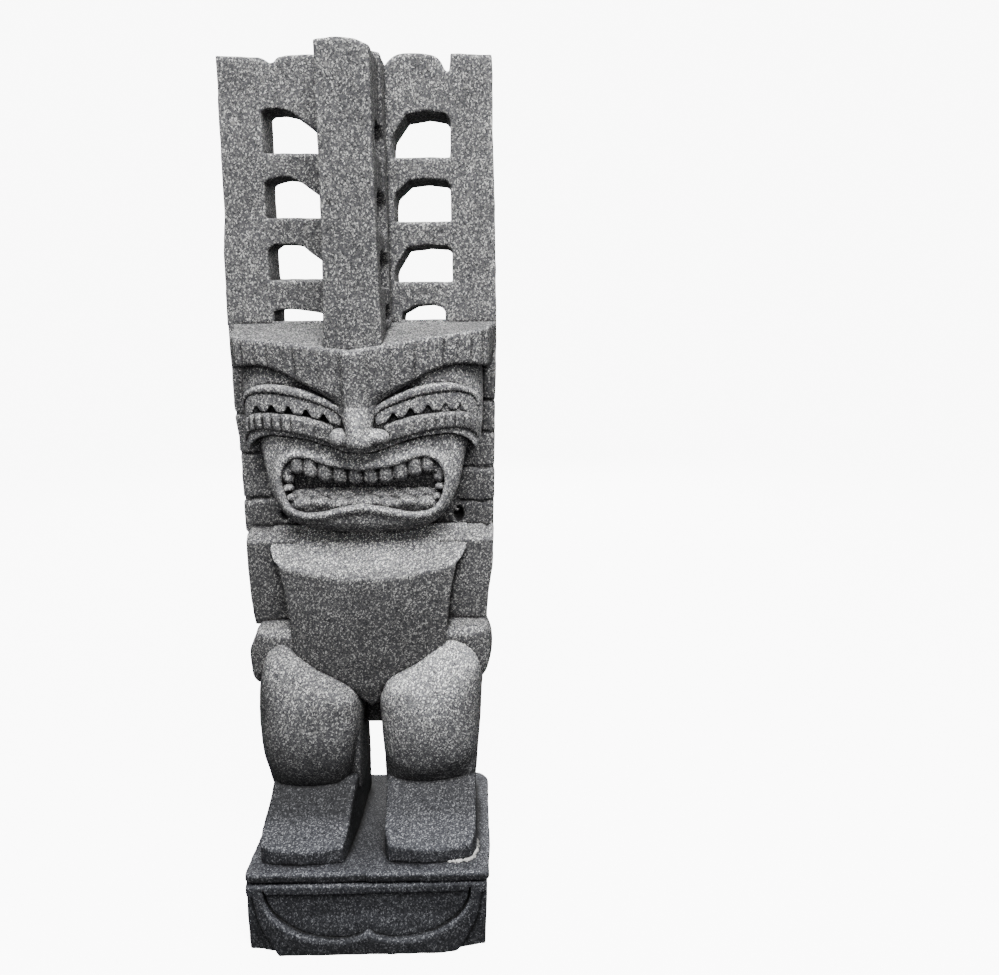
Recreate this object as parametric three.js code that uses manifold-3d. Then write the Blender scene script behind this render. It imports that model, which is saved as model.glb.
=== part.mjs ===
// Carved volcanic-stone tiki figure on its plinth, 1.5 m tall, in millimetres.
// +Z is up, the figure faces -Y, +X is on the right of someone looking at its face.
// The origin is on the ground, under the middle of the bounding box.
import * as THREE from 'three';
import { mergeVertices } from 'three/addons/utils/BufferGeometryUtils.js';
import Module from 'manifold-3d';

const wasm = await Module();
wasm.setup();

// ---- driving dimensions ----
const HEIGHT = 1500;
const DEPTH = 320;
const JOINT = 0.3;

const FRONT = -DEPTH / 2;
const BACK = DEPTH / 2;

const PLINTH_HALF = 202;
const PLINTH_BLOCK_TOP = 128;
const PLINTH_TOP = 150;
const PLINTH_CORNER = 45;
const KERF = 3.5;
const KERF_DEPTH = 5;
const RELIEF_DEPTH = 5;

const MORTAR = 2.4;
const MORTAR_LIP = 2.5;
const FOOT_BOTTOM = PLINTH_TOP + MORTAR + 2 * JOINT;
const FOOT_TOP = 240;
const FOOT_FRONT = -138;
const FOOT_BACK = 120;
const FOOT_INNER = 38;
const FOOT_OUTER = 188;
const FOOT_CORNER = 12;

const LEG_TOP = 521;
const LEG_FRONT = -90;
const BELLY_BOTTOM = 385;
const WRIST = 532;
const HAND_BOTTOM = 424;

const SLAB_FRONT = 56;
const SLAB_BACK = 140;
const SLAB_BOTTOM = 318;
const SLAB_TOP = 1066;
const SLAB_HALF = 229;
const CREST_HALF = 227;

const CHIN = 697;
const SHOULDER = 703;
const HEAD_TOP = 1000;
const LIP_FACE = -34;
const EYE_FACE = -28;
const MOUTH_BACK = 0;
const MOUTH_HALF = 137;
const TOOTH_PITCH = 25;
const NOSE_BOTTOM = 850;
const LID_PROUD = 20;
const BAND_PROUD = 10;
const LOWER_LID_PROUD = 17;
const BAND_NOTCHES = [[58, 908], [87, 919], [116, 919], [145, 919], [171, 919]];

const RIDGE_FRONT = -80;
const RIDGE_BACK_HALF = 48;
const RIDGE_FRONT_TOP = 1484;

const WINDOWS = [
  { sill: 1341, top: 1409 },
  { sill: 1238, top: 1303 },
  { sill: 1136, top: 1198 },
  { sill: SLAB_TOP - 10, top: 1096 },
];
const WINDOW_OUTER = 158;
const WINDOW_INNER = 64;

// Windows cut sideways through the ridge: front, back, sill and crown of each.
const RIDGE_WINDOWS = [
  { front: -42, back: 28, sill: 1336, top: 1382 },
  { front: -42, back: 28, sill: 1216, top: 1276 },
  { front: -42, back: 28, sill: 1127, top: 1180 },
  { front: 2, back: 48, sill: 1072, top: 1096 },
];

const DOWEL_RADIUS = 8;
const DOWEL_SIDES = 24;
const SOCKET = { x: 162, z: 733, length: 60 };
const COURSE_LEFT = [908, 838, 755];
const COURSE_RIGHT = [927, 872, 808, 746];
const COURSE_INNER = 150;
const COURSE_DEPTH = 3;
const COURSE_HALF = 1.5;
const LEG_DOWEL = { x: 112, y: 30, from: 60, to: 320 };
const CREST_DOWEL = { x: 193, y: 98, from: 1000, to: 1140 };
const HEAD_PEG = { z: 905, from: 5, to: 110 };
const TORSO_PEG = { z: 580, from: 0, to: 110 };

// ---- stone, mortar and steel ----
const stone = (color) => () => new THREE.MeshStandardMaterial({ color, roughness: 0.95, metalness: 0 });
const paleStone = stone(0x6f6f70);
const midStone = stone(0x616163);
const dampStone = stone(0x3e4044);
const mortar = () => new THREE.MeshStandardMaterial({ color: 0xc9c6bd, roughness: 0.9, metalness: 0 });
const steel = () => new THREE.MeshStandardMaterial({ color: 0x8d9196, roughness: 0.35, metalness: 1 });

// ---- solids from outlines ----
const vectors = (points) => points.map(([a, b]) => new THREE.Vector2(a, b));

function curve(points, steps) {
  return new THREE.SplineCurve(vectors(points)).getPoints(steps).map((p) => [p.x, p.y]);
}

function bothSides(rightHalf) {
  const left = rightHalf.map(([x, z]) => [-x, z]).reverse();
  return [...rightHalf.filter(([x]) => x > 0), ...left];
}

const onSide = (side, points) => points.map(([x, z]) => [side * x, z]);

function solidOf(geometry) {
  geometry.deleteAttribute('normal');
  geometry.deleteAttribute('uv');
  const merged = mergeVertices(geometry);
  const vertProperties = new Float32Array(merged.attributes.position.array);
  const triVerts = new Uint32Array(merged.index.array);
  return new wasm.Manifold(new wasm.Mesh({ numProp: 3, vertProperties, triVerts }));
}

function extrude(points, depth) {
  return new THREE.ExtrudeGeometry(new THREE.Shape(vectors(points)), { depth, bevelEnabled: false });
}

// An outline in (x, z), seen from the front, filled from y0 back to y1.
function frontPrism(points, y0, y1) {
  return solidOf(extrude(points, y1 - y0).rotateX(Math.PI / 2).translate(0, y1, 0));
}

// An outline in (x, y), seen from above, filled from z0 up to z1.
function planPrism(points, z0, z1) {
  return solidOf(extrude(points, z1 - z0).translate(0, 0, z0));
}

// An outline in (y, z), seen from the right, filled from x0 to x1.
function sidePrism(points, x0, x1) {
  const turn = new THREE.Matrix4().makeBasis(
    new THREE.Vector3(0, 1, 0),
    new THREE.Vector3(0, 0, 1),
    new THREE.Vector3(1, 0, 0),
  );
  return solidOf(extrude(points, x1 - x0).applyMatrix4(turn).translate(x0, 0, 0));
}

function box(x0, x1, y0, y1, z0, z1) {
  return planPrism([[x0, y0], [x1, y0], [x1, y1], [x0, y1]], z0, z1);
}

// An upright dowel, or with clearance added, the hole it stands in.
function dowel({ x, y, from, to }, side, clearance = 0) {
  const radius = DOWEL_RADIUS + clearance;
  const cylinder = new THREE.CylinderGeometry(radius, radius, to - from + 2 * clearance, DOWEL_SIDES);
  return solidOf(cylinder.rotateX(Math.PI / 2).translate(side * x, y, (from + to) / 2));
}

// A level dowel that runs back into the slab, or with clearance added, its hole.
function peg({ z, from, to }, clearance = 0) {
  const radius = DOWEL_RADIUS + clearance;
  const cylinder = new THREE.CylinderGeometry(radius, radius, to - from + 2 * clearance, DOWEL_SIDES);
  return solidOf(cylinder.translate(0, (from + to) / 2, z));
}

const AROUND = [[1, 0, 0], [-1, 0, 0], [0, 1, 0], [0, -1, 0], [0, 0, 1], [0, 0, -1]];
const shifted = (solid, [x, y, z], by) => solid.translate(x * by, y * by, z * by);

// Cuts each neighbour out of a piece, with a joint's clearance all round it.
function clearOf(piece, ...neighbours) {
  let result = piece;
  for (const neighbour of neighbours) {
    for (const direction of AROUND) result = result.subtract(shifted(neighbour, direction, JOINT));
  }
  return result;
}

// What is left of a solid a joint's clearance inside its own faces.
function inside(solid) {
  let result = solid;
  for (const direction of AROUND) result = result.intersect(shifted(solid, direction, JOINT));
  return result;
}

function drillFor(piece, where, sides) {
  let result = piece;
  for (const side of sides) result = result.subtract(dowel(where, side, JOINT));
  return result;
}

function mesh(name, solid, material) {
  const { vertProperties, triVerts } = solid.getMesh();
  const geometry = new THREE.BufferGeometry();
  geometry.setAttribute('position', new THREE.BufferAttribute(vertProperties, 3));
  geometry.setIndex(new THREE.BufferAttribute(triVerts, 1));
  geometry.computeVertexNormals();
  const piece = new THREE.Mesh(geometry, material());
  piece.name = name;
  return piece;
}

const SIDES = [['left', -1], ['right', 1]];

// ---- plinth ----
function plinthPlan(inset) {
  const half = PLINTH_HALF - inset;
  const back = BACK - inset;
  const corner = [];
  for (let step = 0; step <= 6; step += 1) {
    const angle = (step / 6) * (Math.PI / 2);
    corner.push([
      half - PLINTH_CORNER * (1 - Math.cos(angle)),
      back - PLINTH_CORNER * (1 - Math.sin(angle)),
    ]);
  }
  return bothSides([[half, FRONT + inset], ...corner]);
}

// Two sunk lobes meeting in a cusp, under a plain top band.
function reliefLobes() {
  const lobe = curve([[177, 104], [170, 82], [150, 54], [105, 28], [50, 21], [0, 33]], 20);
  return bothSides([[176, 110], ...lobe]);
}

function reliefCorner(side) {
  const sweep = curve([[192, 102], [184, 58], [171, 29], [154, -1]], 10);
  return onSide(side, [[204, -1], [204, 104], ...sweep]);
}

function plinthBlock() {
  let block = planPrism(plinthPlan(0), 0, PLINTH_BLOCK_TOP - JOINT);
  block = block.subtract(frontPrism(reliefLobes(), FRONT - 1, FRONT + RELIEF_DEPTH));
  for (const [, side] of SIDES) {
    block = block.subtract(frontPrism(reliefCorner(side), FRONT - 1, FRONT + RELIEF_DEPTH));
  }
  return drillFor(block, LEG_DOWEL, [-1, 1]);
}

function plinthCap() {
  const neck = planPrism(plinthPlan(KERF_DEPTH), PLINTH_BLOCK_TOP, PLINTH_BLOCK_TOP + KERF + 1);
  const slab = planPrism(plinthPlan(0), PLINTH_BLOCK_TOP + KERF, PLINTH_TOP);
  return drillFor(slab.add(neck), LEG_DOWEL, [-1, 1]);
}

// ---- feet and legs ----
function footPlan(side, lip) {
  const front = FOOT_FRONT - lip;
  const inner = FOOT_INNER - lip;
  const outer = FOOT_OUTER + lip;
  return onSide(side, [
    [inner, front + FOOT_CORNER],
    [inner + FOOT_CORNER, front],
    [outer - FOOT_CORNER, front],
    [outer, front + FOOT_CORNER],
    [outer, FOOT_BACK + lip],
    [inner, FOOT_BACK + lip],
  ]);
}

function footMortar(side) {
  const bed = planPrism(footPlan(side, MORTAR_LIP), PLINTH_TOP + JOINT, PLINTH_TOP + JOINT + MORTAR);
  return drillFor(bed, LEG_DOWEL, [side]);
}

function foot(side) {
  const instep = [
    [FOOT_BACK, FOOT_BOTTOM],
    [FOOT_FRONT, FOOT_BOTTOM],
    [FOOT_FRONT, FOOT_BOTTOM + 25],
    [FOOT_FRONT + 10, FOOT_BOTTOM + 35],
    [-66, 224],
    [-36, FOOT_TOP],
    [FOOT_BACK, FOOT_TOP],
  ];
  const plan = planPrism(footPlan(side, 0), FOOT_BOTTOM, FOOT_TOP);
  return drillFor(plan.intersect(sidePrism(instep, -PLINTH_HALF, PLINTH_HALF)), LEG_DOWEL, [side]);
}

function legForm(side) {
  const low = FOOT_TOP + JOINT;
  const hip = [[140, LEG_TOP], [165, 508], [187, 472], [198, 430]];
  const calf = [[201, 385], [197, 335], [186, 285], [172, low]];
  const outer = curve([...hip, ...calf], 18);
  const inner = [[24, low], [18, 300], [17, 400], [40, 470], [90, LEG_TOP]];
  const front = onSide(side, [...inner, ...outer]);
  const shin = [[-28, low], [-48, 262], [-66, 300], [-77, 350]];
  const thigh = [[-78, 400], [-68, 450], [-46, 495], [-18, LEG_TOP]];
  const profile = [
    ...curve([...shin, ...thigh], 18),
    [SLAB_FRONT - JOINT, LEG_TOP],
    [SLAB_FRONT - JOINT, SLAB_BOTTOM - JOINT],
    [FOOT_BACK, SLAB_BOTTOM - JOINT],
    [FOOT_BACK, low],
  ];
  const round = [[12, -10], [22, -45], [60, -72], [110, -79], [160, -70], [195, -40], [203, 0]];
  const plan = onSide(side, [...curve(round, 16), [203, 90], [185, FOOT_BACK], [12, FOOT_BACK]]);
  return frontPrism(front, LEG_FRONT, FOOT_BACK)
    .intersect(sidePrism(profile, -210, 210))
    .intersect(planPrism(plan, 200, 560));
}

// ---- body ----
function torsoForm() {
  const belly = [[22, 403], [47, 434], [108, 476], [131, 515]];
  const chest = [[153, 645], [168, 690], [168, CHIN - JOINT]];
  const outline = [[0, BELLY_BOTTOM], ...belly, ...chest, [0, CHIN - JOINT]];
  const profile = [
    [SLAB_FRONT - JOINT, BELLY_BOTTOM],
    [-20, BELLY_BOTTOM],
    [-34, 460],
    [-35, 560],
    [-28, 628],
    [-18, 641],
    [38, CHIN - JOINT],
    [SLAB_FRONT - JOINT, CHIN - JOINT],
  ];
  const front = frontPrism(bothSides(outline), -40, SLAB_FRONT);
  return front.intersect(sidePrism(profile, -200, 200));
}

function arm(side) {
  const outer = [[207, WRIST], [211, 600], [219, 690], [219, SHOULDER]];
  const outline = onSide(side, [[120, WRIST], ...outer, [140, SHOULDER]]);
  const profile = [
    [SLAB_FRONT - JOINT, WRIST],
    [22, WRIST],
    [18, 600],
    [18, 672],
    [30, SHOULDER - 6],
    [48, SHOULDER],
    [SLAB_FRONT - JOINT, SHOULDER],
  ];
  return frontPrism(outline, 0, SLAB_FRONT).intersect(sidePrism(profile, -230, 230));
}

function hand(side) {
  const top = WRIST - JOINT;
  const knuckles = curve([[209, 529], [224, 505], [228, 475], [220, 448], [205, HAND_BOTTOM]], 10);
  const outline = onSide(side, [[110, top], ...knuckles, [150, HAND_BOTTOM], [110, 470]]);
  const profile = [
    [SLAB_FRONT - JOINT, HAND_BOTTOM],
    [8, HAND_BOTTOM],
    [-12, 450],
    [-18, 490],
    [-8, 515],
    [8, top],
    [SLAB_FRONT - JOINT, top],
  ];
  return frontPrism(outline, -30, SLAB_FRONT).intersect(sidePrism(profile, -240, 240));
}

// A groove that marks a course of the slab beside the head.
function courseLine(side, z) {
  const ends = [side * COURSE_INNER, side * (SLAB_HALF + 2)].sort((a, b) => a - b);
  const back = SLAB_FRONT + COURSE_DEPTH;
  return box(...ends, SLAB_FRONT - 1, back, z - COURSE_HALF, z + COURSE_HALF);
}

// A round hole drilled into the slab beside the chin.
function socket(side) {
  const { x, z, length } = SOCKET;
  const cylinder = new THREE.CylinderGeometry(DOWEL_RADIUS, DOWEL_RADIUS, length, DOWEL_SIDES);
  return solidOf(cylinder.translate(side * x, SLAB_FRONT, z));
}

function backSlab() {
  const hips = [[184, SLAB_BOTTOM], [192, 430], [206, 533]];
  const rightEdge = [...hips, [217, 690], [221, 694], [SLAB_HALF, SLAB_TOP]];
  let slab = frontPrism(bothSides(rightEdge), SLAB_FRONT, SLAB_BACK);
  for (const z of COURSE_LEFT) slab = slab.subtract(courseLine(-1, z));
  for (const z of COURSE_RIGHT) slab = slab.subtract(courseLine(1, z));
  for (const [, side] of SIDES) slab = slab.subtract(socket(side));
  for (const where of [HEAD_PEG, TORSO_PEG]) slab = slab.subtract(peg(where, JOINT));
  return drillFor(slab, CREST_DOWEL, [-1, 1]);
}

// ---- head ----
const eyeLine = {
  lidTop: [[199, 936], [188, 954], [154, 966], [112, 963], [70, 951], [30, 930]],
  lidBottom: [[193, 934], [178, 948], [148, 952], [97, 944], [47, 926], [30, 914]],
  bandBottom: [[192, 914], [169, 921], [132, 920], [99, 917], [72, 911], [40, 901]],
  lowerTop: [[196, 908], [169, 918], [132, 917], [99, 913], [72, 907], [38, 894]],
  lowerBottom: [[191, 876], [176, 889], [152, 890], [108, 884], [60, 871], [38, 862]],
};

function faceForm(proud) {
  const back = SLAB_FRONT - JOINT;
  const chin = [[0, CHIN], [52, 701], [102, 714], [135, 738], [158, 775]];
  const cheek = [[170, 816], [178, 863], [192, 888], [199, 915]];
  const outline = bothSides([...curve([...chin, ...cheek], 24), [200, 950], [190, HEAD_TOP]]);
  const profile = [
    [back, CHIN],
    [-2, CHIN],
    [-24, 716],
    [LIP_FACE, 745],
    [LIP_FACE, 800],
    [EYE_FACE, 860],
    [EYE_FACE, HEAD_TOP],
    [back, HEAD_TOP],
  ];
  const turn = curve([[120, -32], [165, -22], [190, 4], [201, 40]], 8);
  const plan = bothSides([[0, LIP_FACE - 1], ...turn, [201, back]]);
  return frontPrism(outline, -40, SLAB_FRONT)
    .intersect(sidePrism(profile, -210, 210))
    .intersect(planPrism(plan, 650, 1100))
    .translate(0, -proud, 0);
}

function mouthOutline() {
  const upper = [[0, 816], [57, 825], [100, 839], [122, 834], [MOUTH_HALF, 815]];
  const lower = [[MOUTH_HALF, 790], [127, 760], [112, 748], [80, 746], [40, 755], [0, 759]];
  return bothSides(curve([...upper, ...lower], 36));
}

function mouthCavity() {
  return frontPrism(mouthOutline(), -50, MOUTH_BACK);
}

function upperTeeth() {
  const edge = [];
  for (let x = -MOUTH_HALF; x <= MOUTH_HALF; x += MOUTH_HALF / 48) {
    const arch = 800 + 12 * (x / 100) ** 2;
    edge.push([x, arch - 7 * Math.abs(Math.cos((Math.PI * x) / TOOTH_PITCH))]);
  }
  const gum = [[MOUTH_HALF, 850], [-MOUTH_HALF, 850]];
  const row = frontPrism([...edge, ...gum], LIP_FACE + 8, MOUTH_BACK - JOINT);
  return row.intersect(inside(mouthCavity()));
}

function tongue() {
  const left = [[-128, 770], [-112, 768], [-90, 779], [-45, 774]];
  const right = [[0, 779], [45, 774], [90, 779], [112, 768], [128, 770]];
  const root = [[MOUTH_HALF, 740], [-MOUTH_HALF, 740]];
  const outline = [...curve([...left, ...right], 32), ...root];
  const body = frontPrism(outline, LIP_FACE + 14, MOUTH_BACK - JOINT);
  return body.intersect(inside(mouthCavity()));
}

function browAndNose() {
  const brow = [[SLAB_HALF, 994], [212, 991], [169, 1001], [122, 992], [76, 970], [34, 941]];
  const underside = curve(brow, 20);
  const nose = curve([[24, 915], [26, 898], [46, 882], [47, 868], [26, 858], [0, 853]], 16);
  const outline = bothSides([[0, SLAB_TOP], [SLAB_HALF, SLAB_TOP], ...underside, ...nose]);
  const back = SLAB_FRONT - JOINT;
  const profile = [
    [back, SLAB_TOP],
    [RIDGE_FRONT - 6, 1024],
    [-84, 1000],
    [-68, 930],
    [-82, 885],
    [-70, 856],
    [-50, NOSE_BOTTOM],
    [back, NOSE_BOTTOM],
  ];
  const turn = [[150, -62], [200, -45], [216, -25], [SLAB_HALF, 30], [SLAB_HALF, back]];
  const plan = bothSides([[0, RIDGE_FRONT - 8], ...turn]);
  return frontPrism(outline, -100, back)
    .intersect(sidePrism(profile, -240, 240))
    .intersect(planPrism(plan, 800, 1100));
}

// Only the brow runs back to the slab: the nose stands on the face.
function noseOnFace(form) {
  const behindNose = box(-60, 60, EYE_FACE - JOINT, SLAB_FRONT, NOSE_BOTTOM - 10, 940);
  return form.subtract(behindNose);
}

function eyePiece(side, topLine, bottomLine, proud, notches = []) {
  const points = [...curve(topLine, 16), ...curve(bottomLine, 16).reverse()];
  let piece = frontPrism(onSide(side, points), -90, SLAB_FRONT);
  for (const [x, z] of notches) {
    const notch = onSide(side, [[x - 7, z - 6], [x + 7, z - 6], [x, z + 9]]);
    piece = piece.subtract(frontPrism(notch, -95, SLAB_FRONT));
  }
  return piece.intersect(faceForm(proud));
}

// ---- crest ----
function ridgeForm() {
  const foot = 1020;
  const front = [[46, foot], [42, 1250], [41, 1476], [30, 1483], [0, 1488]];
  const lower = frontPrism(bothSides(front), RIDGE_FRONT, SLAB_FRONT - 30);
  const wallFront = bothSides([[50, foot], [50, HEIGHT - 8], [20, HEIGHT]]);
  const wall = frontPrism(wallFront, SLAB_FRONT - 31, SLAB_BACK);
  const flank = [[42, RIDGE_FRONT], [44, 0], [RIDGE_BACK_HALF, SLAB_FRONT]];
  const plan = bothSides([...flank, [RIDGE_BACK_HALF, SLAB_BACK]]);
  const profile = [
    [RIDGE_FRONT, HEAD_TOP],
    [SLAB_BACK, HEAD_TOP],
    [SLAB_BACK, HEIGHT],
    [SLAB_FRONT, HEIGHT],
    [RIDGE_FRONT, RIDGE_FRONT_TOP],
  ];
  let ridge = lower
    .add(wall)
    .intersect(planPrism(plan, HEAD_TOP, HEIGHT + 1))
    .intersect(sidePrism(profile, -60, 60));
  for (const { front: near, back: far, sill, top } of RIDGE_WINDOWS) {
    const middle = (near + far) / 2;
    const rise = [[near, top - 22], [near + 14, top - 5], [middle, top]];
    const arch = curve([...rise, [far - 14, top - 5], [far, top - 22]], 10);
    ridge = ridge.subtract(sidePrism([[far, sill], [near, sill], ...arch], -60, 60));
  }
  return ridge;
}

function crestWindow(side, sill, top) {
  const arch = curve([[100, top], [80, top - 12], [WINDOW_INNER, top - 48]], 6);
  const low = Math.min(top - 50, sill);
  const outline = [
    [WINDOW_OUTER, low],
    [WINDOW_OUTER, top - 10],
    [WINDOW_OUTER - 8, top],
    ...arch,
    [WINDOW_INNER, low],
  ];
  return frontPrism(onSide(side, outline), SLAB_FRONT - 1, SLAB_BACK + 1);
}

function crestPanel(side) {
  const inner = RIDGE_BACK_HALF + JOINT;
  const rise = [[141, HEIGHT - 10], [124, HEIGHT - 2], [98, HEIGHT]];
  const lobe = curve([...rise, [70, HEIGHT - 2], [54, HEIGHT - 10]], 12);
  const outline = [
    [inner, SLAB_TOP + JOINT],
    [SLAB_HALF, SLAB_TOP + JOINT],
    [CREST_HALF, HEIGHT],
    [WINDOW_OUTER, HEIGHT],
    [152, HEIGHT - 17],
    ...lobe,
    [inner, HEIGHT - 12],
  ];
  let panel = frontPrism(onSide(side, outline), SLAB_FRONT, SLAB_BACK);
  for (const { sill, top } of WINDOWS) {
    panel = panel.subtract(crestWindow(side, sill, top));
  }
  return drillFor(panel, CREST_DOWEL, [side]);
}

// ---- assembly ----
const torso = torsoForm();
const brow = noseOnFace(browAndNose());
const face = faceForm(0).subtract(mouthCavity());
const slab = backSlab();

const plinth = new THREE.Group();
plinth.add(mesh('plinth_block', plinthBlock(), dampStone));
plinth.add(mesh('plinth_cap', plinthCap(), dampStone));

const limbs = new THREE.Group();
const eyes = new THREE.Group();
const crest = new THREE.Group();
const dowels = new THREE.Group();

const head = clearOf(face, brow);
crest.add(mesh('crest_ridge', clearOf(ridgeForm(), brow, slab), midStone));

for (const [name, side] of SIDES) {
  const leg = drillFor(clearOf(legForm(side), torso), LEG_DOWEL, [side]);
  const upperArm = clearOf(arm(side), torso);
  limbs.add(mesh(`${name}_foot_mortar`, footMortar(side), mortar));
  limbs.add(mesh(`${name}_foot`, foot(side), dampStone));
  limbs.add(mesh(`${name}_leg`, leg, midStone));
  limbs.add(mesh(`${name}_arm`, upperArm, paleStone));
  limbs.add(mesh(`${name}_hand`, clearOf(hand(side), torso, leg, upperArm), midStone));

  const lid = eyePiece(side, eyeLine.lidTop, eyeLine.lidBottom, LID_PROUD);
  const band = eyePiece(side, eyeLine.lidBottom, eyeLine.bandBottom, BAND_PROUD, BAND_NOTCHES);
  const lowerLid = eyePiece(side, eyeLine.lowerTop, eyeLine.lowerBottom, LOWER_LID_PROUD);
  const bandAlone = clearOf(band, head, brow, lid);
  eyes.add(mesh(`${name}_upper_eyelid`, clearOf(lid, head, brow), paleStone));
  eyes.add(mesh(`${name}_eye_band`, bandAlone, midStone));
  eyes.add(mesh(`${name}_lower_eyelid`, clearOf(lowerLid, head, brow), paleStone));

  crest.add(mesh(`${name}_crest_panel`, crestPanel(side), midStone));

  dowels.add(mesh(`${name}_leg_dowel`, dowel(LEG_DOWEL, side), steel));
  dowels.add(mesh(`${name}_crest_dowel`, dowel(CREST_DOWEL, side), steel));
}

const body = new THREE.Group();
body.add(mesh('torso', torso.subtract(peg(TORSO_PEG, JOINT)), midStone));
body.add(mesh('back_slab', slab, midStone));

const headGroup = new THREE.Group();
headGroup.add(mesh('head', head.subtract(peg(HEAD_PEG, JOINT)), paleStone));
headGroup.add(mesh('brow_and_nose', brow, paleStone));
headGroup.add(mesh('upper_teeth', upperTeeth(), midStone));
headGroup.add(mesh('tongue', tongue(), midStone));
headGroup.add(eyes);

dowels.add(mesh('head_dowel', peg(HEAD_PEG), steel));
dowels.add(mesh('torso_dowel', peg(TORSO_PEG), steel));

const group = new THREE.Group();
group.add(plinth, limbs, body, headGroup, crest, dowels);

export default group;
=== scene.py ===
"""The looks of the carved tiki figure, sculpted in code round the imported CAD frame.

Each stone member is described as a signed distance field in millimetres, in the box of its
CAD node, and meshed as a surface net. X runs out from the figure's centre plane, Y runs back
from the front of the node's box and Z runs up from the bottom of that box.
"""

import math

import bpy
import numpy as np
from mathutils import Matrix, Vector


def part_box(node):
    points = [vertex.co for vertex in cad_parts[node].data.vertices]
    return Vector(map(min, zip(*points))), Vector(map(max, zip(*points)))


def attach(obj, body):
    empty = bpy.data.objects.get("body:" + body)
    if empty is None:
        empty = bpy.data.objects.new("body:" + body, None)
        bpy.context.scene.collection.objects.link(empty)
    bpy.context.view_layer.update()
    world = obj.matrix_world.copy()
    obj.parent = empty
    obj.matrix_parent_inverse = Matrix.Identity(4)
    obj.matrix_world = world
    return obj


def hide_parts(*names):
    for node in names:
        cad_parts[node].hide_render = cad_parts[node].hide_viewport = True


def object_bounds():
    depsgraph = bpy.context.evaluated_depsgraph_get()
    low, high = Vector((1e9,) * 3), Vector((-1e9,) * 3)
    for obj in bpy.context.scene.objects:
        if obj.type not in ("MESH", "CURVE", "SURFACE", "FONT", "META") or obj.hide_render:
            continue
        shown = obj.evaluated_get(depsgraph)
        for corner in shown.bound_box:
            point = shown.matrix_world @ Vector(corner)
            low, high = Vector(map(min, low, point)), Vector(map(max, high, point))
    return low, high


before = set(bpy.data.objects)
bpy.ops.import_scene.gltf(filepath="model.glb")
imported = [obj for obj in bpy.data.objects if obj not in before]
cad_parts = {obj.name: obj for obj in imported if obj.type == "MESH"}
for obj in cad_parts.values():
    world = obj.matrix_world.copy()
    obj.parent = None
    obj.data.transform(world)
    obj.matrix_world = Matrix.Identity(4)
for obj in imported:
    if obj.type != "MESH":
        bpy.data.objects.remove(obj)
cad_low, cad_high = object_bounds()

MM = 0.001
FINE, PLAIN = ((1.6, 2.2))
PAD = 9.0
# Tables with the keys -1 and 1 hold what differs between the left and the right half.
SIDES = (("left", -1), ("right", 1))


# ---- noise ----

def lattice(ix, iy, iz, seed):
    """A random number from -1 to 1 for each whole-numbered point."""
    h = (ix * 374761393 + iy * 668265263 + iz * 1274126177 + seed * 974634777) & 0xFFFFFFFF
    h = ((h ^ (h >> 13)) * 1103515245) & 0xFFFFFFFF
    h = ((h ^ (h >> 16)) * 2654435761) & 0xFFFFFFFF
    return ((h >> 8) & 0xFFFF) / 32767.5 - 1.0


def value_noise(p, size, seed):
    """Smooth noise from -1 to 1 with bumps about `size` across."""
    q = p / size
    cell = np.floor(q).astype(np.int64)
    f = q - cell
    f = f * f * (3 - 2 * f)
    total = np.zeros(len(p))
    for corner in np.ndindex(2, 2, 2):
        weight = np.ones(len(p))
        for axis, up in enumerate(corner):
            weight *= f[:, axis] if up else 1 - f[:, axis]
        ix, iy, iz = (cell[:, axis] + corner[axis] for axis in range(3))
        total += weight * lattice(ix, iy, iz, seed)
    return total


def pits(p, spacing, radius, share, seed):
    """Depth from 0 to 1 of small round vesicles, a `share` of one to each cell."""
    q = p / spacing
    base = np.floor(q - 0.5).astype(np.int64)
    deepest = np.zeros(len(p))
    for corner in np.ndindex(2, 2, 2):
        ix, iy, iz = (base[:, axis] + corner[axis] for axis in range(3))
        centre = np.stack([ix, iy, iz], 1) + 0.5
        for axis in range(3):
            centre[:, axis] += 0.25 * lattice(ix, iy, iz, seed + 1 + axis)
        size = radius * (0.55 + 0.45 * lattice(ix, iy, iz, seed + 4))
        there = lattice(ix, iy, iz, seed + 5) < 2 * share - 1
        away = np.linalg.norm(q - centre, axis=1) * spacing
        depth = np.clip(1 - away / np.maximum(size, 0.3), 0, 1)
        deepest = np.maximum(deepest, np.where(there, np.sqrt(depth), 0))
    return deepest


# ---- distance fields ----

def smax(a, b, k):
    """The overlap of two fields, with the edge between them rounded over about k."""
    h = np.maximum(k - np.abs(a - b), 0) / k
    return np.maximum(a, b) + h * h * k * 0.25


def smin(a, b, k):
    """Two fields joined, with the crease between them filled over about k."""
    return -smax(-a, -b, k)


def spline(points, steps=8):
    """A smooth curve through the points, with a few steps to each stretch."""
    p = np.array(points, float)
    p = np.vstack([2 * p[0] - p[1], p, 2 * p[-1] - p[-2]])
    out = []
    for i in range(1, len(p) - 2):
        for t in np.arange(steps) / steps:
            a, b, c, d = p[i - 1 : i + 3]
            out.append(
                0.5 * (2 * b + (c - a) * t + (2 * a - 5 * b + 4 * c - d) * t**2
                       + (3 * b - a - 3 * c + d) * t**3)
            )
    out.append(p[-2])
    return [tuple(q) for q in out]


def to_line(u, v, points):
    """Distance to an open line of points."""
    best = np.full(np.broadcast(u, v).shape, 1e9)
    for (au, av), (bu, bv) in zip(points, points[1:]):
        du, dv = bu - au, bv - av
        t = np.clip(((u - au) * du + (v - av) * dv) / (du * du + dv * dv + 1e-9), 0, 1)
        best = np.minimum(best, np.hypot(u - au - t * du, v - av - t * dv))
    return best


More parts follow.
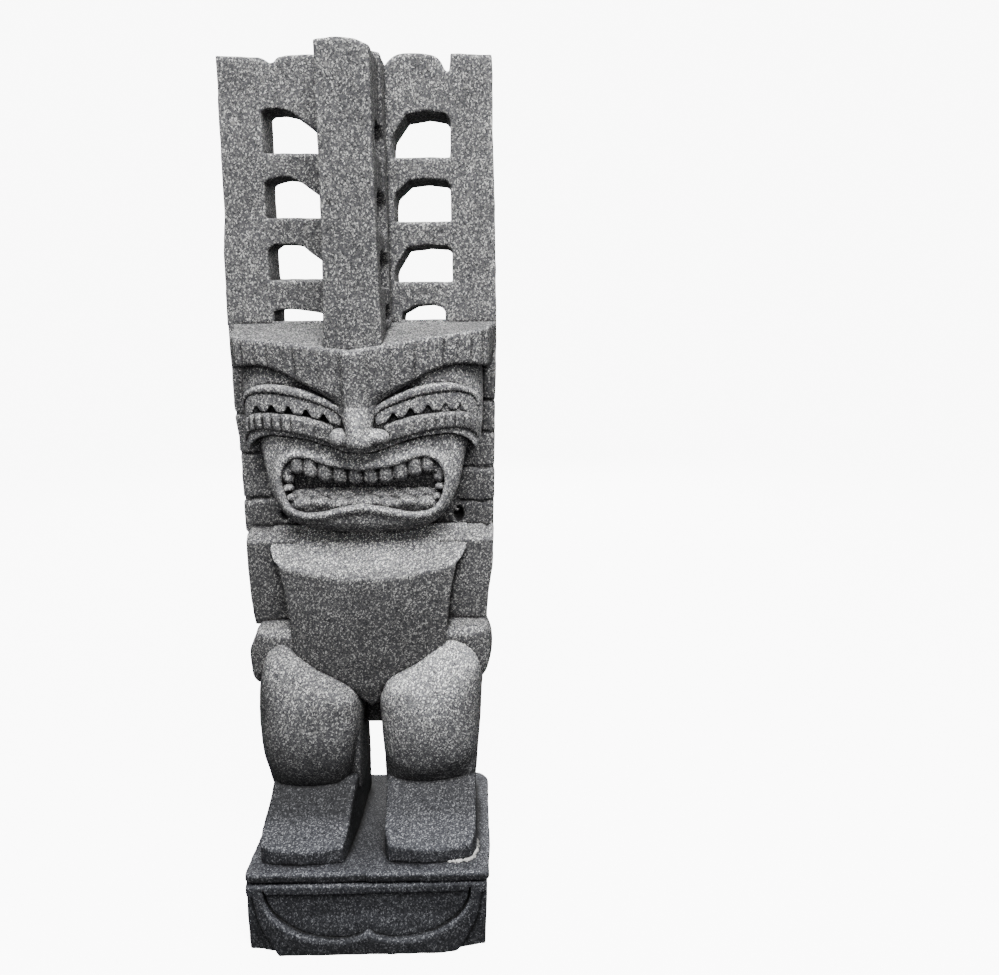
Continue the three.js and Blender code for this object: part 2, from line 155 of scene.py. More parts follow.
def outline(u, v, points):
    """Signed distance to a closed outline, less than 0 inside."""
    points = list(points)
    inside = np.zeros(np.broadcast(u, v).shape, bool)
    for (au, av), (bu, bv) in zip(points, points[1:] + points[:1]):
        if av == bv:
            continue
        crosses = ((av > v) != (bv > v)) & (u < (bu - au) * (v - av) / (bv - av) + au)
        inside ^= crosses
    away = to_line(u, v, points + points[:1])
    return np.where(inside, -away, away)


def between(w, low, high):
    """A flat layer from low to high."""
    return np.abs(w - (low + high) / 2) - (high - low) / 2


def ellipsoid(x, y, z, centre, radii):
    """Roughly the distance to an ellipsoid, exact only on its surface."""
    q = [(w - c) / r for w, c, r in zip((x, y, z), centre, radii)]
    return (np.sqrt(q[0] ** 2 + q[1] ** 2 + q[2] ** 2) - 1) * min(radii)


def bump(distance, width):
    """1 on a line, falling smoothly to 0 about `width` away from it."""
    return np.exp(-((distance / width) ** 2))


# ---- from fields to meshes ----

def box_mm(node):
    """The low and high corner of a CAD node."""
    return [np.array(corner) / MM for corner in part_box(node)]


class Block:
    """The grid of points that one member is carved in."""

    def __init__(self, node, voxel, side=0, datum=None, pad=PAD):
        low, high = box_mm(node)
        base_low, base_high = box_mm(datum or node)
        self.node, self.voxel = node, voxel
        self.start = low - pad
        counts = np.ceil((high - low + 2 * pad) / voxel).astype(int) + 1
        axes = [self.start[a] + voxel * np.arange(counts[a]) for a in range(3)]
        x, y, z = axes[0][:, None, None], axes[1][None, :, None], axes[2][None, None, :]
        self.x = np.abs(x) if side == 0 else side * x
        self.x_signed = x
        self.y = y - base_low[1]
        self.z = z - base_low[2]
        self.shape = tuple(counts)
        self.depth, self.height = base_high[1] - base_low[1], base_high[2] - base_low[2]
        self.reach = np.abs([base_low[0], base_high[0]]).max()

    def front(self, points):
        return outline(self.x, self.z, points)

    def side(self, points):
        return outline(self.y, self.z, points)

    def plan(self, points):
        return outline(self.x, self.y, points)


def grid(step):
    return step * PLAIN / 2.2


CORNERS = list(np.ndindex(2, 2, 2))
EDGES = [(a, b) for a in CORNERS for b in CORNERS if b > a and sum(b) - sum(a) == 1
         and sum(abs(p - q) for p, q in zip(a, b)) == 1]


def surface_net(field, start, voxel):
    """Points and quads of the field's zero surface."""
    inside = field < 0
    cells = tuple(n - 1 for n in field.shape)
    full = np.zeros(cells, np.int8)
    for c in CORNERS:
        full += inside[tuple(slice(o, o + n) for o, n in zip(c, cells))]
    where = np.nonzero((full > 0) & (full < 8))
    number = np.full(cells, -1, np.int64)
    number[where] = np.arange(len(where[0]))
    total = np.zeros((len(where[0]), 3))
    count = np.zeros(len(where[0]))
    for a, b in EDGES:
        fa = field[tuple(w + o for w, o in zip(where, a))]
        fb = field[tuple(w + o for w, o in zip(where, b))]
        hit = (fa < 0) != (fb < 0)
        t = np.where(hit, fa / np.where(hit, fa - fb, 1), 0)
        step = np.array(a) + t[:, None] * (np.array(b) - np.array(a))
        total += step * hit[:, None]
        count += hit
    points = (np.stack(where, 1) + total / count[:, None]) * voxel + start
    quads = []
    for axis in range(3):
        second, third = (axis + 1) % 3, (axis + 2) % 3
        low = [slice(None)] * 3
        high = [slice(None)] * 3
        low[axis], high[axis] = slice(None, -1), slice(1, None)
        starts = inside[tuple(low)]
        change = starts != inside[tuple(high)]
        at = np.array(np.nonzero(change))
        keep = (at[second] > 0) & (at[third] > 0)
        keep &= (at[second] < cells[second]) & (at[third] < cells[third])
        at = at[:, keep]
        ring = []
        for back_second, back_third in ((1, 1), (0, 1), (0, 0), (1, 0)):
            cell = at.copy()
            cell[second] -= back_second
            cell[third] -= back_third
            ring.append(number[tuple(cell)])
        ring = np.stack(ring, 1)
        outward = starts[tuple(at)]
        quads.append(np.where(outward[:, None], ring, ring[:, ::-1]))
    return points, np.concatenate(quads)


def rims(quads, points):
    """The two ends of every quad's sides, and how many sides meet at each of the points."""
    pairs = np.concatenate([quads[:, [i, (i + 1) % 4]] for i in range(4)])
    return pairs, np.bincount(pairs.ravel(), minlength=points)[:, None]


def neighbours_mean(values, pairs, count):
    """The mean of the values at the neighbours of each point."""
    out = np.empty_like(values)
    for axis in range(values.shape[1]):
        column = values[:, axis]
        total = np.bincount(pairs[:, 0], column[pairs[:, 1]], len(values))
        total += np.bincount(pairs[:, 1], column[pairs[:, 0]], len(values))
        out[:, axis] = total / count[:, 0]
    return out


def normals_of(points, quads):
    """Outward normals at the points, weighted by the faces' areas."""
    a, b, c, d = (points[quads[:, i]] for i in range(4))
    face = np.cross(c - a, d - b)
    out = np.zeros_like(points)
    for axis in range(3):
        for corner in range(4):
            out[:, axis] += np.bincount(quads[:, corner], face[:, axis], len(points))
    return out / np.maximum(np.linalg.norm(out, axis=1, keepdims=True), 1e-9)


def hollowness(points, quads, normal, rounds, gain):
    """About 0.5 on flat stone, nearer 1 in creases and nearer 0 on edges."""
    pairs, count = rims(quads, len(points))
    smooth = points
    for _ in range(rounds):
        smooth = neighbours_mean(smooth, pairs, count)
    lift = np.einsum("ij,ij->i", normal, smooth - points)
    return np.clip(0.5 + gain * lift, 0, 1)


def facing_up(normal, quads, rounds):
    """1 where the stone faces the sky, 0.5 on upright faces and 0 underneath, a little blurred."""
    pairs, count = rims(quads, len(normal))
    for _ in range(rounds):
        normal = neighbours_mean(normal, pairs, count)
    return 0.5 + 0.5 * normal[:, 2]


SEED = 11
# Height and width of the swells in the dressed surface.
SWELLS = ((1.1, 70), (0.5, 21), (0.16, 8), (0.07, 4.2))
CHIP_WIDTH, STROKE_WIDTH = 13, 7.5
# Depth, spacing, radius, share and seed of the vesicles.
VESICLES = ((1.0, 17, 3.2, 0.3, 91), (2.0, 58, 6.0, 0.2, 57))
# Turns and stretches the noise along the strokes of the chisel.
STROKE_TURN = np.array([[0.8, 0.1, 0.25], [0.1, 0.8, 0.1], [0.62, -0.3, 0.05]])


def weathered(points, normal, crease, tooling, wear):
    """How far each point of the dressed stone stands off its ideal surface."""
    out = np.zeros(len(points))
    for i, (height, width) in enumerate(SWELLS):
        out += height * value_noise(points, width, SEED + i)
    edge = np.clip((0.5 - crease) * 2.2, 0, 1)
    out -= wear * edge * (0.2 + 1.3 * np.clip(value_noise(points, CHIP_WIDTH, SEED + 4), 0, 1))
    for depth, spacing, radius, share, seed in VESICLES:
        out -= depth * pits(points, spacing, radius, share, seed)
    out += tooling * value_noise(points @ STROKE_TURN, STROKE_WIDTH, SEED + 6)
    return out[:, None] * normal


def mesh_from(name, points, quads, attributes):
    mesh = bpy.data.meshes.new(name)
    mesh.vertices.add(len(points))
    mesh.vertices.foreach_set("co", (points * MM).astype(np.float32).ravel())
    mesh.loops.add(quads.size)
    mesh.loops.foreach_set("vertex_index", quads.astype(np.int32).ravel())
    mesh.polygons.add(len(quads))
    mesh.polygons.foreach_set("loop_start", np.arange(0, quads.size, 4, dtype=np.int32))
    mesh.update(calc_edges=True)
    mesh.polygons.foreach_set("use_smooth", np.ones(len(quads), bool))
    for key, values in attributes.items():
        layer = mesh.attributes.new(key, "FLOAT", "POINT")
        layer.data.foreach_set("value", values.astype(np.float32))
    mesh.validate()
    return mesh


# A coarse grid round the whole figure, for finding where other stone comes close to a piece, its
# neighbours' included; the material paints shade there.
CELL, MARGIN = 4.0, 40
# How far off its surface a piece looks for other stone.
LOOKOUT = 3
GRID_LOW = np.array(cad_low) / MM - MARGIN
GRID_HIGH = np.array(cad_high) / MM + MARGIN
solid = np.zeros(np.ceil((GRID_HIGH - GRID_LOW) / CELL).astype(int), bool)
carved = []


def stamp(block, field):
    """Marks the cells of the whole figure's grid that lie within a member."""
    reach = block.voxel * (np.array(field.shape) - 1)
    first = np.ceil((block.start - GRID_LOW) / CELL).astype(int)
    last = np.floor((block.start + reach - GRID_LOW) / CELL).astype(int)
    picks = [np.rint((GRID_LOW[a] + CELL * np.arange(first[a], last[a] + 1) - block.start[a])
                     / block.voxel).astype(int) for a in range(3)]
    region = tuple(slice(first[a], last[a] + 1) for a in range(3))
    solid[region] |= field[np.ix_(*picks)] < 0


def box_blur(values, radius):
    """The mean over a cube that reaches `radius` cells each way."""
    span = 2 * radius + 1
    for axis in range(3):
        widths = [(0, 0)] * 3
        widths[axis] = (radius + 1, radius)
        total = np.moveaxis(np.cumsum(np.pad(values, widths, "edge"), axis), axis, 0)
        values = np.moveaxis((total[span:] - total[:-span]) / span, 0, axis)
    return values


def mark_hollows():
    """Gives every piece the share of stone near each of its points, its neighbours' included."""
    near = box_blur(box_blur(solid.astype(float), 2), 1)
    last_cell = np.array(near.shape) - 1.001
    for mesh, points, normal in carved:
        q = np.clip((points + LOOKOUT * normal - GRID_LOW) / CELL, 0, last_cell)
        cell = np.floor(q).astype(int)
        part = q - cell
        total = np.zeros(len(q))
        for corner in CORNERS:
            weight = np.prod([part[:, a] if corner[a] else 1 - part[:, a] for a in range(3)], axis=0)
            total += weight * near[tuple(cell[:, a] + corner[a] for a in range(3))]
        layer = mesh.attributes.new("hollow", "FLOAT", "POINT")
        layer.data.foreach_set("value", total.astype(np.float32))


def carve(block, field, slot="stone", tooling=0.25, rough=1.0, wear=1.0, shade=1.0):
    """Turns a member's field into the weathered piece that stands for its CAD node."""
    field = field + np.zeros(block.shape)
    for axis in range(3):
        for end in (0, -1):
            skin = [slice(None)] * 3
            skin[axis] = end
            field[tuple(skin)] = np.maximum(field[tuple(skin)], 0.5)
    stamp(block, field)
    points, quads = surface_net(field, block.start, block.voxel)
    normal = normals_of(points, quads)
    crease = hollowness(points, quads, normal, rounds=6, gain=0.55 / block.voxel)
    points = points + rough * weathered(points, normal, crease, tooling, wear)
    points[:, 2] = np.maximum(points[:, 2], 0)
    normal = normals_of(points, quads)
    # Measures that the material turns into painted light and shade, with the shade factor that paints each
    # piece darker or lighter.
    attributes = {
        "crease": hollowness(points, quads, normal, rounds=10, gain=0.5 / block.voxel),
        "fine_crease": hollowness(points, quads, normal, rounds=2, gain=1.1 / block.voxel),
        "sky": facing_up(normal, quads, rounds=8),
        "shade": shade(points) if callable(shade) else np.full(len(points), shade),
    }
    mesh = mesh_from(block.node, points, quads, attributes)
    carved.append((mesh, points, normal))
    piece = bpy.data.objects.new(block.node + "_carved", mesh)
    bpy.context.scene.collection.objects.link(piece)
    piece.data.materials.append(FINISHES[slot])
    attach(piece, "root")
    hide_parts(block.node)


# ---- looks ----

class Nodes:
    """A short hand for wiring a material."""

    def __init__(self, name):
        self.material = bpy.data.materials.new(name)
        self.material.use_nodes = True
        self.tree = self.material.node_tree
        self.shader = self.tree.nodes["Principled BSDF"]

    def add(self, kind, inputs=(), **settings):
        node = self.tree.nodes.new(kind)
        for key, value in settings.items():
            setattr(node, key, value)
        for key, value in dict(inputs).items():
            if isinstance(value, bpy.types.NodeSocket):
                self.tree.links.new(value, node.inputs[key])
            else:
                node.inputs[key].default_value = value
        return node

    def math(self, operation, a, b):
        return self.add("ShaderNodeMath", {0: a, 1: b}, operation=operation).outputs[0]

    def attribute(self, name):
        return self.add("ShaderNodeAttribute", attribute_name=name).outputs["Fac"]

    def scaled(self, value, scale):
        inputs = {0: value, "Scale": scale}
        return self.add("ShaderNodeVectorMath", inputs, operation="SCALE").outputs[0]

    def link(self, value, socket):
        self.tree.links.new(value, self.shader.inputs[socket])

    def ramp(self, value, stops, interpolation="LINEAR"):
        node = self.add("ShaderNodeValToRGB", {0: value})
        node.color_ramp.interpolation = interpolation
        elements = node.color_ramp.elements
        while len(elements) < len(stops):
            elements.new(0.5)
        for element, (position, colour) in zip(elements, stops):
            element.position = position
            element.color = (*colour, 1) if isinstance(colour, tuple) else (colour,) * 3 + (1,)
        return node.outputs[0]

    def mix(self, kind, factor, a, b):
        node = self.add("ShaderNodeMix", {0: factor, 6: a, 7: b}, data_type="RGBA", blend_type=kind)
        return node.outputs[2]

    def span(self, value, low, high, start=0.0, end=1.0):
        inputs = {0: value, 1: low, 2: high, 3: start, 4: end}
        return self.add("ShaderNodeMapRange", inputs, interpolation_type="SMOOTHSTEP").outputs[0]


# Painted shade: the stone darker in its creases. Its edges are a little lighter, as worn stone and painted
# highlight.
CREASE_PAINTED_SHADE = [(0.1, 1.2), (0.5, 1.0), (0.7, 0.58), (0.95, 0.2)]
# Painted shade in small pits and hollows, painted highlight on small bumps.
FINE_CREASE_PAINTED_SHADE = [(0.2, 1.1), (0.5, 1.0), (0.85, 0.7)]
# Painted light and shade by facing: faces that look up lighter, undersides darker.
SKY_PAINTED_LIGHT = [(0.1, 0.5), (0.42, 0.9), (0.52, 1.0), (0.72, 1.5), (0.95, 1.45)]
# Painted shade: darker where other stone comes close, the piece's neighbours included.
HOLLOW_PAINTED_SHADE = [(0.1, 1.1), (0.4, 1.0), (0.49, 0.8), (0.58, 0.4), (0.72, 0.14)]
MATRIX_TONES = [(0, (0.04, 0.04, 0.043)), (0.1, (0.09, 0.09, 0.096)), (0.4, (0.13, 0.13, 0.138)),
                (0.72, (0.165, 0.165, 0.17)), (0.93, (0.21, 0.21, 0.21))]
FLECK_TONES = [(0.0, (0.2, 0.2, 0.195)), (0.5, (0.4, 0.4, 0.39)), (1.0, (1.0, 0.99, 0.96))]
# How far each layer of flecks is turned, and how many of its cells show one.
FLECK_LAYERS = ((0.5, 0.36), (-0.75, 0.32), (1.5, 0.26))
FLECK_STRETCH = 2.9
WET_TINT = (0.36, 0.375, 0.41, 1)


def volcanic_stone(name, tone, damp_below, dry_above, damp, painted_sky_light_share):
    """Salt-and-pepper volcanic stone, bluish where it is damp, with painted light and shade: darker in its
    creases, near other stone, underneath and low down, lighter where it faces up, and scaled by each
    piece's shade factor.
    """
    n = Nodes(name)
    place = n.add("ShaderNodeTexCoord").outputs["Object"]
    jitter = n.add("ShaderNodeTexNoise", {"Vector": place, "Scale": 420.0, "Detail": 1.0})
    wobble = n.scaled(jitter.outputs["Color"], 0.0013)
    shaken = n.add("ShaderNodeVectorMath", {0: place, 1: wobble}, operation="ADD").outputs[0]

    matrix = n.add("ShaderNodeTexVoronoi", {"Vector": shaken, "Scale": 620.0})
    pick = n.add("ShaderNodeSeparateColor", {0: matrix.outputs["Color"]}).outputs[0]
    base = n.ramp(pick, MATRIX_TONES, "CONSTANT")
    for turn, share in FLECK_LAYERS:
        inputs = {"Vector": shaken, "Rotation": (0.3, turn, 0.4), "Scale": (FLECK_STRETCH, 1, 1)}
        spun = n.add("ShaderNodeMapping", inputs, vector_type="TEXTURE").outputs[0]
        cells = n.add("ShaderNodeTexVoronoi", {"Vector": spun, "Scale": 520.0})
        pick = n.add("ShaderNodeSeparateColor", {0: cells.outputs["Color"]})
        fleck = n.math("MULTIPLY", n.span(cells.outputs["Distance"], 0.5, 0.4),
                       n.math("GREATER_THAN", pick.outputs[0], 1 - share))
        base = n.mix("MIX", fleck, base, n.ramp(pick.outputs[1], FLECK_TONES))
    blotch = n.add("ShaderNodeTexNoise", {"Vector": place, "Scale": 14.0, "Detail": 4.0, "Roughness": 0.6})
    base = n.mix("MULTIPLY", 1.0, base, n.ramp(blotch.outputs[0], [(0.3, 0.84), (0.7, 1.12)]))
    stones = n.add("ShaderNodeTexVoronoi", {"Vector": shaken, "Scale": 44.0, "Randomness": 1.0})
    lump = n.span(stones.outputs["Distance"], 0.2, 0.12)
    rare = n.add("ShaderNodeSeparateColor", {0: stones.outputs["Color"]})
    pale = n.math("MULTIPLY", lump, n.math("GREATER_THAN", rare.outputs[0], 0.94))
    dark = n.math("MULTIPLY", lump, n.math("GREATER_THAN", rare.outputs[1], 0.88))
    base = n.mix("MIX", n.math("MULTIPLY", pale, 0.6), base, (0.42, 0.41, 0.4, 1))
    base = n.mix("MIX", n.math("MULTIPLY", dark, 0.5), base, (0.045, 0.045, 0.05, 1))

    sky = n.attribute("sky")
    height = n.add("ShaderNodeSeparateXYZ", {0: place}).outputs[2]
    base = n.mix("MULTIPLY", 1.0, base, n.ramp(n.attribute("crease"), CREASE_PAINTED_SHADE))
    base = n.mix("MULTIPLY", 1.0, base, n.ramp(n.attribute("hollow"), HOLLOW_PAINTED_SHADE))
    base = n.mix("MULTIPLY", 1.0, base, n.ramp(n.attribute("fine_crease"), FINE_CREASE_PAINTED_SHADE))
    base = n.mix("MULTIPLY", painted_sky_light_share, base, n.ramp(sky, SKY_PAINTED_LIGHT))
    # Each piece's shade factor: painted light and shade.
    base = n.scaled(base, n.attribute("shade"))
    # Painted shade: upright and downward faces darker low down on the figure.
    painted_low_shade = n.math("MULTIPLY", n.span(height, 0.86, 0.62), n.span(sky, 0.66, 0.54))
    base = n.mix("MULTIPLY", n.math("MULTIPLY", painted_low_shade, 0.42), base, (0.0, 0.0, 0.0, 1))
    base = n.mix("MULTIPLY", 1.0, base, (*tone, 1))

    patches = n.add("ShaderNodeTexNoise", {"Vector": place, "Scale": 7.0, "Detail": 5.0})
    level = n.math("ADD", height, n.math("MULTIPLY", patches.outputs[0], -0.12))
    wet = n.math("MULTIPLY", n.span(level, dry_above, damp_below), damp)
    base = n.mix("MIX", wet, base, n.mix("MULTIPLY", 1.0, base, WET_TINT))

    ripple = n.add("ShaderNodeTexNoise", {"Vector": place, "Scale": 330.0, "Detail": 3.0, "Roughness": 0.7})
    bumps = n.add("ShaderNodeBump", {"Strength": 0.4, "Distance": 0.0008, "Height": ripple.outputs[0]})
    n.link(base, "Base Color")
    n.link(n.span(wet, 0.0, 1.0, 0.94, 0.66), "Roughness")
    n.link(bumps.outputs[0], "Normal")
    n.shader.inputs["Specular IOR Level"].default_value = 0.25
    return n.material


def lime_mortar():
    n = Nodes("lime_mortar")
    place = n.add("ShaderNodeTexCoord").outputs["Object"]
    speck = n.add("ShaderNodeTexNoise", {"Vector": place, "Scale": 320.0, "Detail": 3.0})
    dirt = n.add("ShaderNodeTexNoise", {"Vector": place, "Scale": 24.0, "Detail": 4.0})
    base = n.ramp(speck.outputs[0], [(0.35, (0.6, 0.59, 0.57)), (0.6, (0.95, 0.94, 0.92))])
    base = n.mix("MULTIPLY", 1.0, base, n.ramp(dirt.outputs[0], [(0.42, 0.3), (0.6, 1.0)]))
    bumps = n.add("ShaderNodeBump", {"Strength": 0.5, "Distance": 0.001, "Height": speck.outputs[0]})
    n.link(base, "Base Color")
    n.link(bumps.outputs[0], "Normal")
    n.shader.inputs["Roughness"].default_value = 0.9
    return n.material


def dull_steel():
    n = Nodes("dull_steel")
    place = n.add("ShaderNodeTexCoord").outputs["Object"]
    scale = n.add("ShaderNodeTexNoise", {"Vector": place, "Scale": 180.0, "Detail": 4.0})
    base = n.ramp(scale.outputs[0], [(0.4, (0.2, 0.2, 0.21)), (0.6, (0.42, 0.42, 0.43))])
    n.link(base, "Base Color")
    n.shader.inputs["Metallic"].default_value = 1.0
    n.shader.inputs["Roughness"].default_value = 0.45
    return n.material


# The material of each slot; each stone's last argument sets how much painted sky light and shade it takes.
FINISHES = {
    "stone": volcanic_stone("dry_stone", (0.95, 0.95, 0.95), damp_below=0.15, dry_above=0.42,
                            damp=0.55, painted_sky_light_share=1.0),
    "damp_stone": volcanic_stone("damp_stone", (0.95, 0.95, 0.97), damp_below=0.1, dry_above=0.36,
                                 damp=0.95, painted_sky_light_share=0.6),
    "mortar": lime_mortar(),
    "steel": dull_steel(),
}


# ---- plinth ----

LOBES = [(176, 116), (171, 88), (152, 62), (108, 37), (52, 29), (22, 33), (0, 44)]
CORNER_SWEEP = [(195, 106), (187, 62), (173, 29), (150, -8)]
BLOCK_TOP, PANEL_TOP, PANEL_SIDE = 128, 110, 176
BULGE, BULGE_HALF_WIDTH, BULGE_TOP = 18, 192, 100
PANEL_DEPTH, RIM_DEPTH, SWEEP_DEPTH = 6, 8.5, 7
FRONT_ROUNDING, BACK_ROUNDING = 11, 42


def closed(points):
    """An outline of the half beyond the centre plane, closed well inside the other half."""
    return list(points) + [(-60, points[-1][1]), (-60, points[0][1])]


def plinth_plan(b, inset):
    front = smax(b.x - b.reach + inset, inset - b.y, FRONT_ROUNDING)
    return smax(front, b.y - b.depth + inset, BACK_ROUNDING)


# Darker towards the bottom; painted shade just under the cap, above a lighter band.
def plinth_painted_shade(p):
    levels = [30, 60, 105, 112, 120, BLOCK_TOP]
    return np.interp(p[:, 2], levels, [0.52, 0.68, 0.72, 0.85, 0.8, 0.6])


def cap_painted_shade(p):
    """Painted shade: darker on its front face and edge, and in the shadow between the feet."""
    shadow_between_feet = bump(np.maximum(np.abs(p[:, 0]) - 34, 0), 22) * np.clip((p[:, 1] + 160) / 70, 0, 1)
    return np.interp(p[:, 2], [140, 149], [0.42, 0.78]) * (1 - 0.6 * shadow_between_feet)


def carve_plinth():
    b = Block("plinth_block", grid(2.3), pad=14)
    across = np.clip(1 - (b.x / BULGE_HALF_WIDTH) ** 3, 0, 1)
    bulge = BULGE * across * np.clip(1 - b.z / BULGE_TOP, 0, 1)
    b.y = b.y + bulge * np.clip((200 - b.y) / 80, 0, 1)
    inset = np.where(b.x_signed < 0, -5, -b.z / 32)
    field = smax(plinth_plan(b, inset), between(b.z, -2, b.height), 3)
    lobes = spline(LOBES)
    panel = b.front(closed([(0, PANEL_TOP), (PANEL_SIDE, PANEL_TOP), *lobes[3:]]))
    sunk = b.y - PANEL_DEPTH + PANEL_DEPTH * np.clip((b.z - 72) / 42, 0, 1)
    field = smax(field, -smax(panel, sunk, 5), 4)
    rim = to_line(b.x, b.z, lobes) - 1.6
    field = smax(field, -smax(rim, b.y - RIM_DEPTH, 2), 2)
    corner = b.front(spline(CORNER_SWEEP) + [(230, -8), (230, 106)])
    field = smax(field, -smax(corner, b.y - SWEEP_DEPTH, 6), 5)
    carve(b, field, "damp_stone", rough=1.25, shade=plinth_painted_shade)

    b = Block("plinth_cap", grid(2.0))
    overhang = np.where(b.x_signed < 0, 4.5, 8)
    slab = smax(plinth_plan(b, -overhang), between(b.z, 4, b.height), 5)
    neck = smax(plinth_plan(b, 4), between(b.z, -6, 9), 1)
    carve(b, smin(slab, neck, 2), "damp_stone", rough=1.25, shade=cap_painted_shade)


# ---- feet and legs ----

FOOT_PLANS = {
    -1: [(25, 262), (29, 110), (36, 40), (42, 2), (110, -5), (166, 0), (184, 8),
         (187, 34), (184, 60), (181, 90), (179, 200), (176, 262)],
    1: [(26, 262), (24, 110), (26, 30), (36, 2), (100, -5), (160, 0), (179, 6),
        (187, 30), (187, 110), (186, 200), (184, 262)],
}
INSTEP = [(262, -9), (-30, -9), (-30, 20), (0, 28), (36, 48), (70, 71), (90, 89), (104, 99), (262, 101)]
# Painted shade: each foot darkens towards its leg, in the shadow under the knee, and the left foot is
# painted darker than the right.
FOOT_PAINTED_SHADE = {-1: 0.8, 1: 0.89}
NEAR_LEG_PAINTED_SHADE = {-1: (1.0, 0.78, 0.38, 0.28), 1: (1.0, 0.9, 0.6, 0.42)}
# Where the mortar is squeezed out, and how strongly.
SQUEEZE = {-1: ([(70, -4), (140, -5)], 0.3), 1: ([(190, 52), (188, 14), (176, 0), (150, -4)], 1.0)}


def carve_foot(name, side):
    def tone(p):
        return FOOT_PAINTED_SHADE[side] * np.interp(p[:, 1], [-118, -102, -86, -60], NEAR_LEG_PAINTED_SHADE[side])

    b = Block(f"{name}_foot", grid(2.0), side, pad=20)
    sag = np.where(b.y < 60, 3 * bump(b.x - 115, 60), 0)
    top = outline(b.y, b.z + sag - 2, INSTEP)
    field = smax(b.plan(FOOT_PLANS[side]), top, 8)
    field = smax(field, -5 - b.z, 2)
    carve(b, field, "damp_stone", shade=tone)


def carve_mortar(name, side):
    b = Block(f"{name}_foot_mortar", FINE, side, f"{name}_foot", pad=14)
    run, share = SQUEEZE[side]
    strength = share * bump(to_line(b.x, b.y, run), 15)
    ripple = np.sin(b.x * 0.6 + 1.3 * np.sin(b.y * 0.3)) * np.sin(b.y * 0.5 + b.x * 0.2)
    squeezed = 7.5 * strength - 4.5 + (0.4 + 3.5 * strength) * ripple
    field = smax(b.plan(FOOT_PLANS[side]) - squeezed, between(b.z, -4.5, 2 * strength), 2)
    carve(b, field, "mortar", rough=0.6)


OUTER_LEG = {
    -1: [(148, 280), (168, 272), (186, 247), (198, 212), (212, 168),
         (219, 109), (211, 64), (194, 14), (184, -14)],
    1: [(136, 288), (164, 278), (190, 244), (202, 206), (200, 161),
        (197, 102), (192, 57), (189, 18), (185, -14)],
}
INNER_LEG = {
    -1: [(46, -14), (40, 20), (32, 70), (21, 115), (19, 148), (25, 172),
         (41, 189), (64, 203), (97, 222), (130, 250)],
    1: [(22, -14), (20, 20), (16, 85), (11, 144), (13, 168), (31, 197), (54, 214), (84, 233), (114, 264)],
}
THIGH = [(92, 292), (58, 264), (30, 222), (9, 165)]
SHIN = {
    -1: THIGH + [(-2, 105), (4, 58), (19, 24), (42, 0), (66, -8), (80, -90)],
    1: THIGH + [(-2, 112), (3, 70), (16, 38), (40, 14), (60, 4), (80, -90)],
}
CALF = [(212, -90), (199, 190), (142, 292)]
LEG_ROUND = [(-2, 110), (4, 66), (22, 32), (52, 9), (90, -4),
             (130, -3), (164, 10), (190, 36), (209, 72), (222, 112)]
LEG_BACK = 199
# The straight column behind each knee, which carries the thigh.
COLUMN_INSIDE, COLUMN_OUTSIDE, COLUMN_FRONT, COLUMN_TOP = 24, 100, 58, 190
# The middle of the knee's arched lower edge, and how far the edge lifts 62 to each side of it.
KNEE_ARCH = {-1: (115, 18), 1: (96, 20)}
# Painted light and shade on each leg: dark under the knee, lightest on the knee, and the left leg darker
# than the right.
LEG_PAINTED_LIGHT = {-1: (0.4, 0.68, 1.12, 0.74), 1: (0.62, 1.02, 1.46, 1.38)}


def carve_leg(name, side):
    def tone(p):
        return np.interp(p[:, 2], [250, 290, 350, 430], LEG_PAINTED_LIGHT[side])

    b = Block(f"{name}_leg", PLAIN, side, pad=18)
    front = b.front(spline(OUTER_LEG[side]) + spline(INNER_LEG[side]))
    middle, lift = KNEE_ARCH[side]
    arch = lift * ((b.x - middle) / 62) ** 2 * np.clip((130 - b.z) / 90, 0, 1)
    profile = outline(b.y, b.z - np.minimum(arch, 60), spline(SHIN[side]) + CALF)
    ankle = smax(44 - b.y, b.z - 90, 8)
    profile = smin(profile, smax(ankle, b.y - LEG_BACK, 8), 34)
    plan = b.plan(spline(LEG_ROUND) + [(222, 185), (196, LEG_BACK), (-2, LEG_BACK)])
    bulge = smax(smax(front, profile, 30), plan, 26)
    column = smax(COLUMN_INSIDE - b.x, COLUMN_FRONT - b.y, 10)
    column = smax(smax(column, b.x - COLUMN_OUTSIDE, 4), smax(b.z - COLUMN_TOP, profile, 10), 10)
    field = smax(smin(bulge, column, 6), b.y - LEG_BACK, 10)
    carve(b, field, shade=tone)


# ---- body ----

WAIST = [(0, -4), (20, 14), (46, 34), (88, 46), (112, 58), (134, 96), (145, 200),
         (158, 260), (168, 271), (175, 284), (176, 322), (0, 322)]
CHEST_EDGE, CHEST_TOP, CHEST_BEVEL = 243, 312, 72
ARMS = {
    -1: [(212, -6), (216, 38), (218, 80), (219, 150), (220, 176)],
    1: [(210, -6), (213, 43), (217, 73), (221, 102), (223, 132), (225, 161), (226, 176)],
}
ARM_PROFILE = [(44, -6), (5, -6), (0, 60), (-1, 152), (12, 165), (38, 172), (44, 172)]
# Painted shade: the left arm is painted darker than the right.
ARM_PAINTED_SHADE = {-1: 0.58, 1: 0.84}
HANDS = {
    -1: [(190, 112), (199, 109), (206, 93), (217, 72), (226, 53), (223, 22), (211, 2), (199, -4)],
    1: [(192, 112), (206, 111), (217, 88), (220, 66), (218, 45), (209, 20), (199, 6), (190, -4)],
}
BACK_OF_HAND = [(78, -4), (24, -4), (4, 24), (-2, 60), (-1, 92), (6, 104), (30, 111), (78, 113)]
SIDE_OF_HAND = [(100, -4), (186, -4), (214, 14), (232, 50), (232, 78), (100, 78)]

